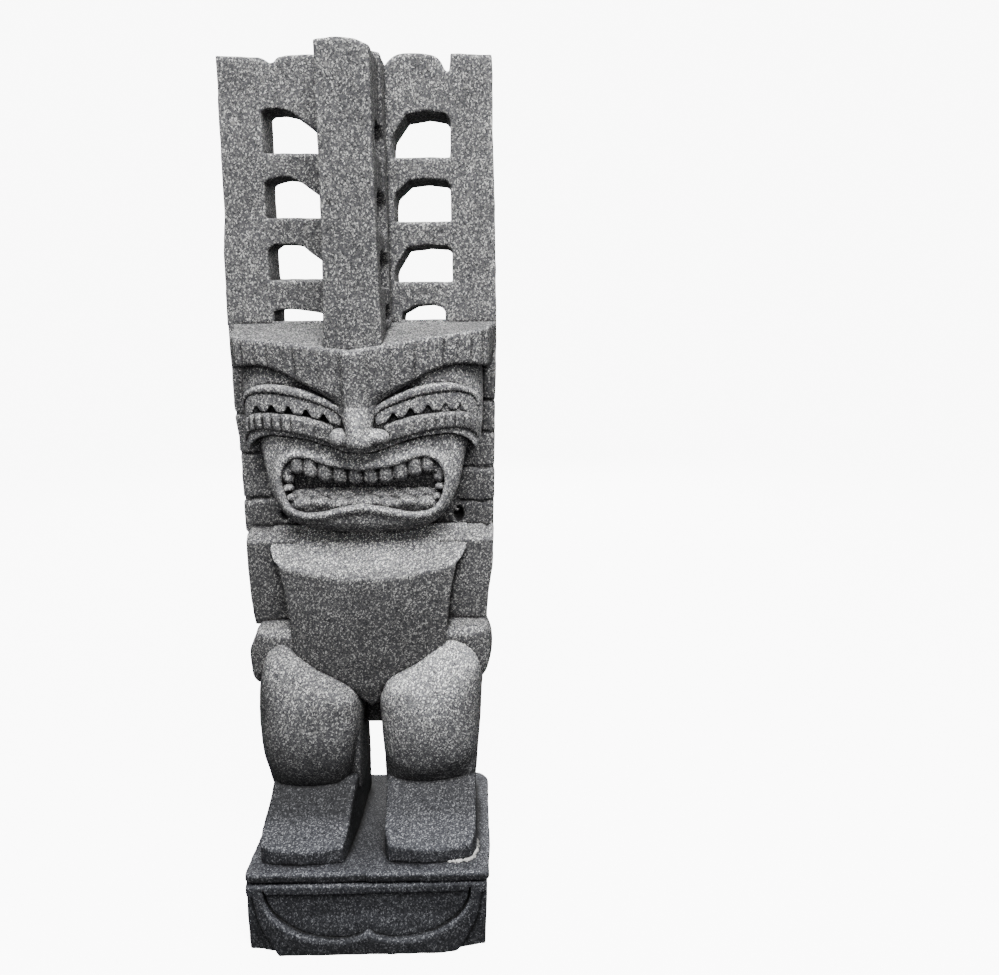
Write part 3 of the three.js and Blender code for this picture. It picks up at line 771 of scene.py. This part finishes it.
# How far the slab laps down behind the thighs, below the hips.
LAP = 430 - box_mm("back_slab")[0][2]
SLAB_TOP = 640
SLAB_LEVELS = [-LAP, 0, 103, 258, 266, 316, 378, 436, 492, 547, SLAB_TOP]
SLAB_WIDTHS = {
    -1: [184, 193, 210, 223, 229, 230, 231, 231, 235, 236, 238],
    1: [184, 193, 209, 220, 225, 226, 227, 229, 230, 231, 233],
}
# Heights of the joints between the slab's courses, from the top one down.
COURSES = {-1: (478, 408, 325), 1: (497, 442, 378, 316)}


def carve_torso():
    # Painted light and shade: the belly darker towards the bottom, the chest's upward bevel lighter.
    def tone(p):
        return np.interp(p[:, 2], [470, 600, 632, 646], [0.56, 0.66, 0.76, 1.03])

    b = Block("torso", grid(2.0))
    edge_y = 4 + 12 * (np.maximum(b.x - 30, 0) / 104) ** 2
    edge_z = CHEST_EDGE + 15 * (b.x / 134) ** 2
    run, rise = CHEST_BEVEL - edge_y, CHEST_TOP - edge_z
    bevel = ((b.z - edge_z) * run - (b.y - edge_y) * rise) / np.hypot(run, rise)
    face = edge_y - 4 + np.interp(b.z, [0, 40, 90, 180, CHEST_EDGE], [18, 6, 1, 0, 4]) - b.y
    field = smax(smax(b.front(closed(WAIST)), face, 6), bevel, 5)
    field = smax(field, b.y - 98, 2)
    carve(b, field, shade=tone)


def carve_arm(name, side):
    b = Block(f"{name}_arm", PLAIN, side, pad=12)
    front = b.front([(112, -6), *ARMS[side], (124, 176)])
    y = b.y - 5 * bump(b.x - 150, 26) * np.clip(1 - b.z / 200, 0, 1)
    field = smax(front, outline(y, b.z, ARM_PROFILE), 5)
    if side > 0:
        chip = ellipsoid(b.x, b.y, b.z, (212, 30, 176), (7, 26, 9))
        field = smax(field, -chip, 3)
    carve(b, field, shade=ARM_PAINTED_SHADE[side])


def carve_hand(name, side):
    b = Block(f"{name}_hand", FINE * 1.2, side, pad=14)
    front = b.front(spline(HANDS[side]) + [(150, -6), (108, 46), (104, 112)])
    field = smax(smax(front, b.side(BACK_OF_HAND), 6), b.plan(SIDE_OF_HAND), 12)
    # Painted shade: the hand's top darker than its front.
    carve(b, field, shade=lambda p: np.interp(p[:, 2], [518, 530], [0.82, 0.6]))


def courses(b):
    """How deep the face lies at the side of the slab: grooved joints between uneven courses."""
    depth = np.zeros(np.broadcast(b.x, b.z).shape)
    for side, levels in COURSES.items():
        here = np.clip((side * b.x_signed - 156) / 8, 0, 1)
        for i, level in enumerate(levels):
            wave = level + 1.6 * np.sin(b.x_signed * 0.07 + i) + 0.7 * np.sin(b.x_signed * 0.21)
            depth = depth + here * 6 * bump(b.z - wave, 2.6)
            depth = depth + here * (1.6 if i % 2 else -1.3) * np.clip((wave - b.z) / 6, 0, 1)
    return depth


def carve_slab():
    b = Block("back_slab", grid(3.1))
    b.z = b.z - LAP
    left, right = (np.interp(b.z, SLAB_LEVELS, SLAB_WIDTHS[side]) for side in (-1, 1))
    edge = smax(b.x - np.where(b.x_signed < 0, left, right), between(b.z, -LAP - 2, SLAB_TOP), 2)
    depth = courses(b)
    field = smax(edge + 0.35 * depth, between(b.y - depth, 0, b.depth), 5)
    for centre, radii in (((161, -2, 291), (10, 24, 15)), ((-155, -2, 294), (9, 18, 11))):
        field = smax(field, -ellipsoid(b.x_signed, b.y, b.z, centre, radii), 4)
    pebble = ellipsoid(b.x_signed, b.y, b.z, (158, 2, 299), (4.5, 5, 4))
    field = smin(field, pebble, 1)
    # Painted shade: the slab darker towards the right, beside the head.
    carve(b, field, shade=lambda p: np.interp(p[:, 0], [-130, 130], [0.69, 0.49]))


# ---- face ----

LID_TOP = [(206, 226), (202, 244), (187, 259), (154, 269), (112, 266), (70, 254), (26, 232)]
LID_BOTTOM = [(198, 226), (193, 241), (180, 251), (148, 255), (97, 247), (47, 229), (26, 214)]
BAND_BOTTOM = [(198, 206), (172, 223), (132, 223), (99, 219), (72, 213), (30, 199)]
LOWER_TOP = [(206, 186), (203, 202), (192, 215), (169, 221), (132, 220), (99, 216), (72, 210), (42, 199)]
LOWER_BOTTOM = [(199, 164), (192, 181), (177, 191), (152, 193), (108, 187), (60, 174), (42, 168)]
RIM = [(195, 154), (190, 163), (182, 172), (169, 179), (152, 184),
       (130, 183), (92, 177), (51, 164), (24, 155), (0, 152)]
JAW = [(0, -1), (52, 3), (102, 16), (136, 40), (159, 78), (171, 119), (180, 166), (188, 200), (190, 230)]
JAW_PROFILE = [(95, -1), (38, -1), (18, 10), (4, 28), (-1, 52), (-1, 110), (2, 150), (8, 260), (95, 260)]
JAW_BOW = [(0, -3), (60, -3), (120, 2), (158, 12), (182, 32), (200, 62), (210, 95)]
EYE_BOW = [(0, -12), (100, -10), (140, -6), (168, 1), (188, 14), (200, 32), (208, 58), (214, 95)]
MOUTH = [(0, 119), (57, 128), (96, 141), (119, 139), (135, 122), (139, 96),
         (130, 66), (112, 51), (80, 48), (40, 56), (0, 63)]
# The last number darkens the inside of the mouth: painted shade.
FACE_BACK, MOUTH_DEPTH, THROAT_PAINTED_SHADE = 95, 52, 0.4
NOTCHES = ((58, 212), (87, 220), (116, 225), (145, 227), (171, 225))
# How far back from the face's front the notches go, through the band and into the head.
BAND_NOTCH_DEPTH = {-1: 8, 1: 0}
HEAD_NOTCH_DEPTH = {-1: 6, 1: -5}


def band_notch(b, x, z):
    return b.front([(x - 11, z - 9), (x + 11, z - 9), (x + 2, z + 7), (x - 2, z + 7)])


def jaw_form(b):
    front = b.front(closed(spline(JAW) + [(190, 260), (0, 260)]))
    bowed = b.plan(closed(spline(JAW_BOW) + [(0, FACE_BACK)]))
    return smax(smax(front, b.side(JAW_PROFILE), 22), bowed, 18)


def eye_form(b, proud):
    """The mask that the eyes are cut in: forward of the cheeks, and closed below by the rim."""
    temple = [(202, 168), (206, 198), (208, 240), (206, 312), (0, 312)]
    front = b.front(closed(spline(RIM)[::-1] + temple))
    plan = outline(b.x, b.y + proud, closed(spline(EYE_BOW) + [(0, FACE_BACK)]))
    return smax(front, plan, 4)


# Painted light and shade on the face: the right half lighter, the lower lip and chin darker, and the inside
# of the mouth much darker.
def face_painted_light(p):
    lips = np.interp(p[:, 2], [765, 790], [0.85, 1.0])
    throat = (p[:, 1] > -18) & (np.abs(p[:, 0]) < 139) & (p[:, 2] > 742) & (p[:, 2] < 842)
    return np.interp(p[:, 0], [-40, 70], [1.03, 1.25]) * lips * np.where(throat, THROAT_PAINTED_SHADE, 1)


def carve_head():
    b = Block("head", grid(2.1), pad=12)
    mouth = b.front(closed(spline(MOUTH)))
    y = b.y
    b.y = y + 6.5 * bump(mouth - 7, 8.5)
    field = jaw_form(b)
    b.y = y
    seam = to_line(b.x, b.z, spline(RIM)[:-1]) - 2.2
    field = smax(field, -smax(seam, y - 14, 2), 3)
    field = smin(field, eye_form(b, 0), 1.5)
    holes = np.minimum.reduce([band_notch(b, x, z) for x, z in NOTCHES])
    for side, depth in HEAD_NOTCH_DEPTH.items():
        notches = smax(holes, -side * b.x_signed, 1)
        field = smax(field, -smax(notches, y - depth, 2), 2)
    field = smax(field, -smax(mouth, y - MOUTH_DEPTH, 12), 6)
    carve(b, field, shade=face_painted_light)


# ---- mouth ----

GUM_TOP = [(0, 124), (57, 133), (96, 146), (122, 143), (140, 122), (142, 108)]
GUM_BOTTOM = [(128, 112), (112, 122), (60, 117), (0, 110)]
# Place across, lower end and radius of each upper tooth, outwards from the middle.
TEETH = ((13, 95, 12), (39, 96, 12), (64, 100, 12.5), (89, 107, 12), (112, 114, 11))
CORNER_TEETH = ((131, 106, 11, 10), (132, 87, 10, 9))
TOOTH_FRONT, TEETH_BACK = 17, 38
TONGUE_BED = [(0, 44), (124, 40), (136, 60), (128, 80), (100, 86), (0, 90)]
GUM_LUMPS = ((107, 61, 16, 12), (76, 63, 17, 10), (43, 60, 19, 11), (8, 62, 20, 12))


def carve_teeth():
    b = Block("upper_teeth", FINE, 0, "head", pad=12)
    gum = b.front(closed(spline(GUM_TOP) + GUM_BOTTOM))
    field = smax(gum, between(b.y, 14, TEETH_BACK), 4)
    for x, bottom, radius in TEETH:
        across = np.maximum(np.abs(b.x - x) - 0.6, 0)
        down = np.maximum(bottom + radius - b.z, 0)
        forward = np.maximum(TOOTH_FRONT - b.y, 0) * 0.95
        tooth = np.sqrt(across**2 + down**2 + forward**2) - radius
        tooth = smax(tooth, smax(b.y - TEETH_BACK, b.z - 150, 1), 2)
        field = smin(field, tooth, 3)
    for x, z, wide, high in CORNER_TEETH:
        field = smin(field, ellipsoid(b.x, b.y, b.z, (x, 27, z), (wide, 14, high)), 3)
    # Painted shade: the teeth darker, deep in the mouth.
    carve(b, field, rough=0.8, shade=0.77)


def carve_tongue():
    b = Block("tongue", FINE, 0, "head", pad=12)
    lumps = 2.5 * np.sin(b.x_signed * 0.16 + b.y * 0.1) * np.sin(b.y * 0.25 + b.x_signed * 0.05 + 1)
    slope = 0.75 * (b.z - 59 - 0.85 * (b.y - 14) + lumps)
    field = smax(smax(b.front(closed(TONGUE_BED)), slope, 5), between(b.y, 12, 48), 4)
    for x, z, wide, high in GUM_LUMPS:
        field = smin(field, ellipsoid(b.x, b.y, b.z, (x, 22, z), (wide, 15, high)), 4)
    field = smin(field, ellipsoid(b.x, b.y, b.z, (127, 25, 71), (8, 12, 7)), 3)
    # Painted shade: the tongue darker, deep in the mouth.
    carve(b, field, rough=1.1, tooling=0.5, shade=0.68)


# ---- eyes ----

# Place across and depth of the chisel's upright grooves in the lower lid.
LID_GROOVES = ((52, 0.4), (72, 0.6), (92, 0.9), (111, 1.4), (128, 2.2),
               (144, 2.8), (160, 3.0), (175, 3.0), (187, 2.4))
GROOVE_GAIN = {-1: 2.3, 1: 1.2}


def strip(b, top, bottom):
    return b.front(spline(top) + spline(bottom)[::-1])


def grooves(b, places, level, lean, width):
    """Depth of upright grooves that lean by `lean` away from a height of `level`."""
    depth = np.zeros(np.broadcast(b.x, b.z).shape)
    for x, deep in places:
        depth = depth + deep * bump(b.x - x - (b.z - level) * lean, width)
    return depth


# Painted shade: the lower lid darker, most of all at its inner end beside the nose.
def lower_lid_painted_shade(p):
    return np.interp(np.abs(p[:, 0]), [45, 80], [0.5, 0.64])


def carve_eye(name, side):
    b = Block(f"{name}_upper_eyelid", FINE, side, "head", pad=16)
    field = smax(strip(b, LID_TOP, LID_BOTTOM), eye_form(b, 13), 7)
    carve(b, field, rough=0.7)

    b = Block(f"{name}_eye_band", FINE, side, "head", pad=16)
    field = smax(strip(b, LID_BOTTOM, BAND_BOTTOM) - 1, eye_form(b, 6), 5)
    for x, z in NOTCHES:
        field = smax(field, -smax(band_notch(b, x, z), b.y - BAND_NOTCH_DEPTH[side], 2), 3)
    carve(b, field, rough=0.7, shade=0.9)

    b = Block(f"{name}_lower_eyelid", FINE, side, "head", pad=16)
    b.y = b.y - GROOVE_GAIN[side] * grooves(b, LID_GROOVES, 190, 0.05, 2.6)
    field = smax(strip(b, LOWER_TOP, LOWER_BOTTOM), eye_form(b, 12), 9)
    carve(b, field, rough=0.7, shade=lower_lid_painted_shade)


# ---- brow and nose ----

BROW_END = [(0, 230), (229, 230), (224, 190), (212, 140)]
BROW_UNDERSIDE = [(204, 138), (190, 142), (159, 144), (128, 136), (97, 121), (67, 102), (42, 86), (31, 76)]
NOSE = [(26, 66), (22, 50), (18, 36), (14, 8), (0, 6)]
BROW_BOW = [(0, -3), (30, 1), (60, 5), (100, 12), (150, 23), (188, 36),
            (204, 50), (211, 72), (214, 100), (222, 135), (232, 148)]
BROW_GROOVES = ((58, 0.6), (96, 1.3), (118, 0.6), (141, 1.5), (163, 0.9), (184, 1.4), (203, 1.6))
# Centre, radii and blend of the nose's left wing, right wing and tip.
NOSE_BALLS = (
    ((-30, 21, 25), (16, 23, 16.5), 2),
    ((31, 27, 25), (21, 22, 14), 9),
    ((2, 23, 18), (24, 26, 17), 5),
)


# Painted light and shade: the nose lighter and the brow above it darker, with a lighter strip down the
# middle.
def brow_painted_light(p):
    return np.interp(p[:, 2], [915, 955, 990], [1.06, 0.8, 0.72]) * (1 + 0.14 * bump(p[:, 0], 20))


def carve_brow():
    b = Block("brow_and_nose", grid(1.9), pad=12)
    b.x = b.x - 3 - 5 * np.clip((b.x_signed - 120) / 100, 0, 1)
    front = b.front(closed([*BROW_END, *spline(BROW_UNDERSIDE), *NOSE]))
    recede = np.interp(b.z, [0, 12, 32, 54, 77, 110, 147, 171], [16, 4, 4, 10, 17, 10, 3, 0])
    prow = 5.5 * np.clip(np.minimum((b.x_signed + 22) / 6, (20 - b.x_signed) / 14), 0, 1)
    plan = outline(b.x, b.y + prow - recede, closed(spline(BROW_BOW) + [(0, 148)]))
    slope = np.interp(b.x_signed, [-200, -122, -6, 100, 218], [0.22, 0.246, 0.324, 0.214, 0.115])
    top = b.z - b.height + (142 - b.y) * slope
    chiselled = 1.6 * grooves(b, BROW_GROOVES, 170, 0.06, 3.0)
    rounding = 7 + 20 * np.clip((120 - b.z) / 30, 0, 1)
    field = smax(smax(front, plan + chiselled, rounding), top, 5)
    for centre, radii, blend in NOSE_BALLS:
        field = smin(field, ellipsoid(b.x_signed, b.y, b.z, centre, radii), blend)
    field = smax(field, -smax(74 - b.y, b.z - 100, 1), 2)
    carve(b, field, rough=0.8, shade=brow_painted_light)


# ---- crest ----

RIDGE = [(0, 480), (42, 480), (43, 220), (47, -6), (0, -6)]
RIDGE_WALL = [(0, 474), (22, 474), (46, 468), (49, 460), (49, -6), (0, -6)]
# Front and back edge, sill and crown of each opening cut sideways through the ridge.
RIDGE_OPENINGS = ((34, 112, 306, 358), (34, 112, 186, 252), (34, 112, 97, 156), (78, 130, 44, 72))
PANEL_EDGES = {
    -1: [(238, -5), (236, 118), (231, 180), (228, 435)],
    1: [(233, -5), (232, 200), (229, 435)],
}
# The nicked end of each panel's top, the points of its scalloped stretch, and its inner end.
PANEL_TOPS = {
    -1: ([(158, 433), (149, 430), (139, 424)],
         [(134, 425), (124, 433), (100, 436), (70, 437), (54, 433)], (40, 430)),
    1: ([(160, 438), (157, 409), (151, 412)],
        [(146, 424), (138, 432), (122, 437), (98, 438), (74, 436), (60, 429), (51, 420)], (40, 412)),
}
# The sill and the arch of each window, from the top one down.
WINDOWS = {
    -1: (
        (282, [(158, 346), (151, 351), (129, 352), (109, 347), (94, 336), (80, 325), (60, 312)]),
        (177, [(159, 233), (152, 238), (132, 243), (114, 242), (99, 235), (85, 224), (60, 206)]),
        (73, [(159, 124), (148, 132), (124, 132), (100, 129), (86, 117), (60, 99)]),
        (-14, [(155, 19), (148, 22), (123, 23), (86, 19), (60, 13)]),
    ),
    1: (
        (274, [(157, 334), (150, 343), (121, 348), (84, 343), (61, 312), (58, 300)]),
        (169, [(157, 228), (150, 236), (114, 240), (86, 237), (62, 216), (59, 200)]),
        (69, [(157, 121), (149, 128), (116, 130), (80, 126), (60, 94), (57, 84)]),
        (-14, [(144, 18), (138, 25), (121, 30), (92, 28), (69, 16), (67, 8)]),
    ),
}
WINDOW_TILT = {-1: 0.07, 1: 0.0}
PANEL_TONE = {-1: 0.62, 1: 0.64}


def carve_ridge():
    b = Block("crest_ridge", PLAIN, pad=12)
    crown_line = np.interp(b.x_signed, [-39, -8, 20, 42], [458, 462, 459, 450])
    ramp = b.z - crown_line - b.y * 12 / 136
    body = smax(smax(b.front(closed(RIDGE)), -b.y, 4), b.y - 150, 2)
    wall = b.front(closed(RIDGE_WALL))
    backing = smax(smax(wall, between(b.y, 96, b.depth), 5), b.x - 49, 2)
    field = smin(smax(body, ramp, 3), backing, 10)
    for near, far, sill, crown in RIDGE_OPENINGS:
        spring, shoulder = crown - 20, crown - 4
        arch = [(near, spring), (near + 14, shoulder), ((near + far) / 2, crown),
                (far - 14, shoulder), (far, spring)]
        field = smax(field, -b.side([(far, sill), (near, sill), *arch]), 3)
    # Painted shade: the ridge's right flank darker than its front.
    carve(b, field, wear=0.3, shade=lambda p: 0.55 - 0.1 * np.clip((p[:, 0] - 38) / 6, 0, 1))


def carve_panel(name, side):
    b = Block(f"{name}_crest_panel", PLAIN, side, pad=14)
    nicks, scallops, inner_end = PANEL_TOPS[side]
    panel = b.front([(42, -5), *PANEL_EDGES[side], *nicks, *spline(scallops), inner_end])
    field = smax(panel, between(b.y, 0, b.depth), 3)
    for sill, arch in WINDOWS[side]:
        window = [(arch[0][0], sill), *arch, (arch[-1][0], sill)]
        field = smax(field, -outline(b.x, b.z - WINDOW_TILT[side] * b.y, window), 4)
    carve(b, field, wear=0.4, shade=PANEL_TONE[side])


# ---- dowels ----

def carve_dowels():
    uprights = [f"{name}_{where}_dowel" for name, _ in SIDES for where in ("leg", "crest")]
    for node in uprights + ["head_dowel", "torso_dowel"]:
        b = Block(node, FINE * 1.25)
        low, high = box_mm(node)
        centre, half = (low + high) / 2, (high - low) / 2
        x, y, z = b.x_signed - centre[0], b.y + low[1] - centre[1], b.z + low[2] - centre[2]
        if node in uprights:
            field = smax(np.hypot(x, y) - half[0], np.abs(z) - half[2], 2)
        else:
            field = smax(np.hypot(x, z) - half[0], np.abs(y) - half[1], 2)
        carve(b, field, "steel", tooling=0.0, rough=0.1)


carve_plinth()
for name, side in SIDES:
    carve_foot(name, side)
    carve_mortar(name, side)
for name, side in SIDES:
    carve_leg(name, side)
carve_torso()
for name, side in SIDES:
    carve_arm(name, side)
    carve_hand(name, side)
carve_slab()
carve_head()
carve_teeth()
carve_tongue()
for name, side in SIDES:
    carve_eye(name, side)
carve_brow()
carve_ridge()
for name, side in SIDES:
    carve_panel(name, side)
carve_dowels()
mark_hollows()


# ---- studio ----

def ringed(name, line, sides=48):
    """A surface swept round the figure from a line of (radius, height) points."""
    points = [(r * math.cos(turn), r * math.sin(turn), z) for r, z in line
              for turn in (2 * math.pi * i / sides for i in range(sides))]
    faces = [(row + i, row + (i + 1) % sides, row + sides + (i + 1) % sides, row + sides + i)
             for row in range(0, len(points) - sides, sides) for i in range(sides)]
    mesh = bpy.data.meshes.new(name)
    mesh.from_pydata(points, [], faces)
    mesh.polygons.foreach_set("use_smooth", [True] * len(faces))
    n = Nodes(name)
    n.shader.inputs["Base Color"].default_value = (0.9, 0.9, 0.9, 1)
    n.shader.inputs["Roughness"].default_value = 1.0
    n.shader.inputs["Specular IOR Level"].default_value = 0.0
    n.shader.inputs["Emission Color"].default_value = (1, 1, 1, 1)
    n.shader.inputs["Emission Strength"].default_value = 9.0
    mesh.materials.append(n.material)
    surface = bpy.data.objects.new(name, mesh)
    bpy.context.scene.collection.objects.link(surface)
    surface.visible_diffuse = False
    surface.visible_glossy = False
    return surface


def backdrop():
    """A pale floor that curves up into a plain pale wall all round the figure."""
    flat, bend, top = 6.0, 2.0, 7.0
    ringed("pale_floor", [(0.02, 0.0), (2.0, 0.0), (flat, 0.0)])
    turns = [step / 16 * math.pi / 2 for step in range(17)]
    curve = [(flat + bend * math.sin(turn), bend * (1 - math.cos(turn))) for turn in turns]
    wall = ringed("pale_wall", curve + [(flat + bend, top)])
    wall.visible_shadow = False


def area_light(name, place, target, size, power):
    light = bpy.data.lights.new(name, "AREA")
    light.shape = "RECTANGLE"
    light.size, light.size_y = size
    light.energy = power
    lamp = bpy.data.objects.new(name, light)
    lamp.location = place
    aim = Vector(target) - Vector(place)
    lamp.rotation_euler = aim.to_track_quat("-Z", "Y").to_euler()
    bpy.context.scene.collection.objects.link(lamp)
    return lamp


backdrop()
area_light("overhead", (0.45, -1.9, 3.1), (0, 0, 0.7), (2.2, 1.6), 195)
area_light("front_fill", (0.3, -4.5, 1.7), (0, 0, 0.8), (3.0, 2.4), 34)
area_light("back_fill", (0.0, 4.6, 2.6), (0, 0, 0.8), (3.0, 2.4), 200)
world = bpy.data.worlds.new("soft_sky")
world.use_nodes = True
world.node_tree.nodes["Background"].inputs["Color"].default_value = (0.95, 0.97, 1.0, 1)
world.node_tree.nodes["Background"].inputs["Strength"].default_value = 0.16
bpy.context.scene.world = world


# ---- camera ----

YAW, PITCH, ROLL = (math.radians(angle) for angle in (-1.033, -10.535, 0.491))
turned = Matrix.Rotation(YAW, 3, "Z") @ Matrix.Rotation(PITCH, 3, "X") @ Matrix.Rotation(ROLL, 3, "Y")
right, ahead, up = turned.col
camera = bpy.data.objects.new("camera", bpy.data.cameras.new("camera"))
camera.data.lens = 30.63
camera.data.clip_start, camera.data.clip_end = 0.05, 60
axes = Matrix((right, up, -ahead)).transposed().to_4x4()
camera.matrix_world = Matrix.Translation((0.2084, -1.4635, 1.0521)) @ axes
bpy.context.scene.collection.objects.link(camera)
bpy.context.scene.camera = camera
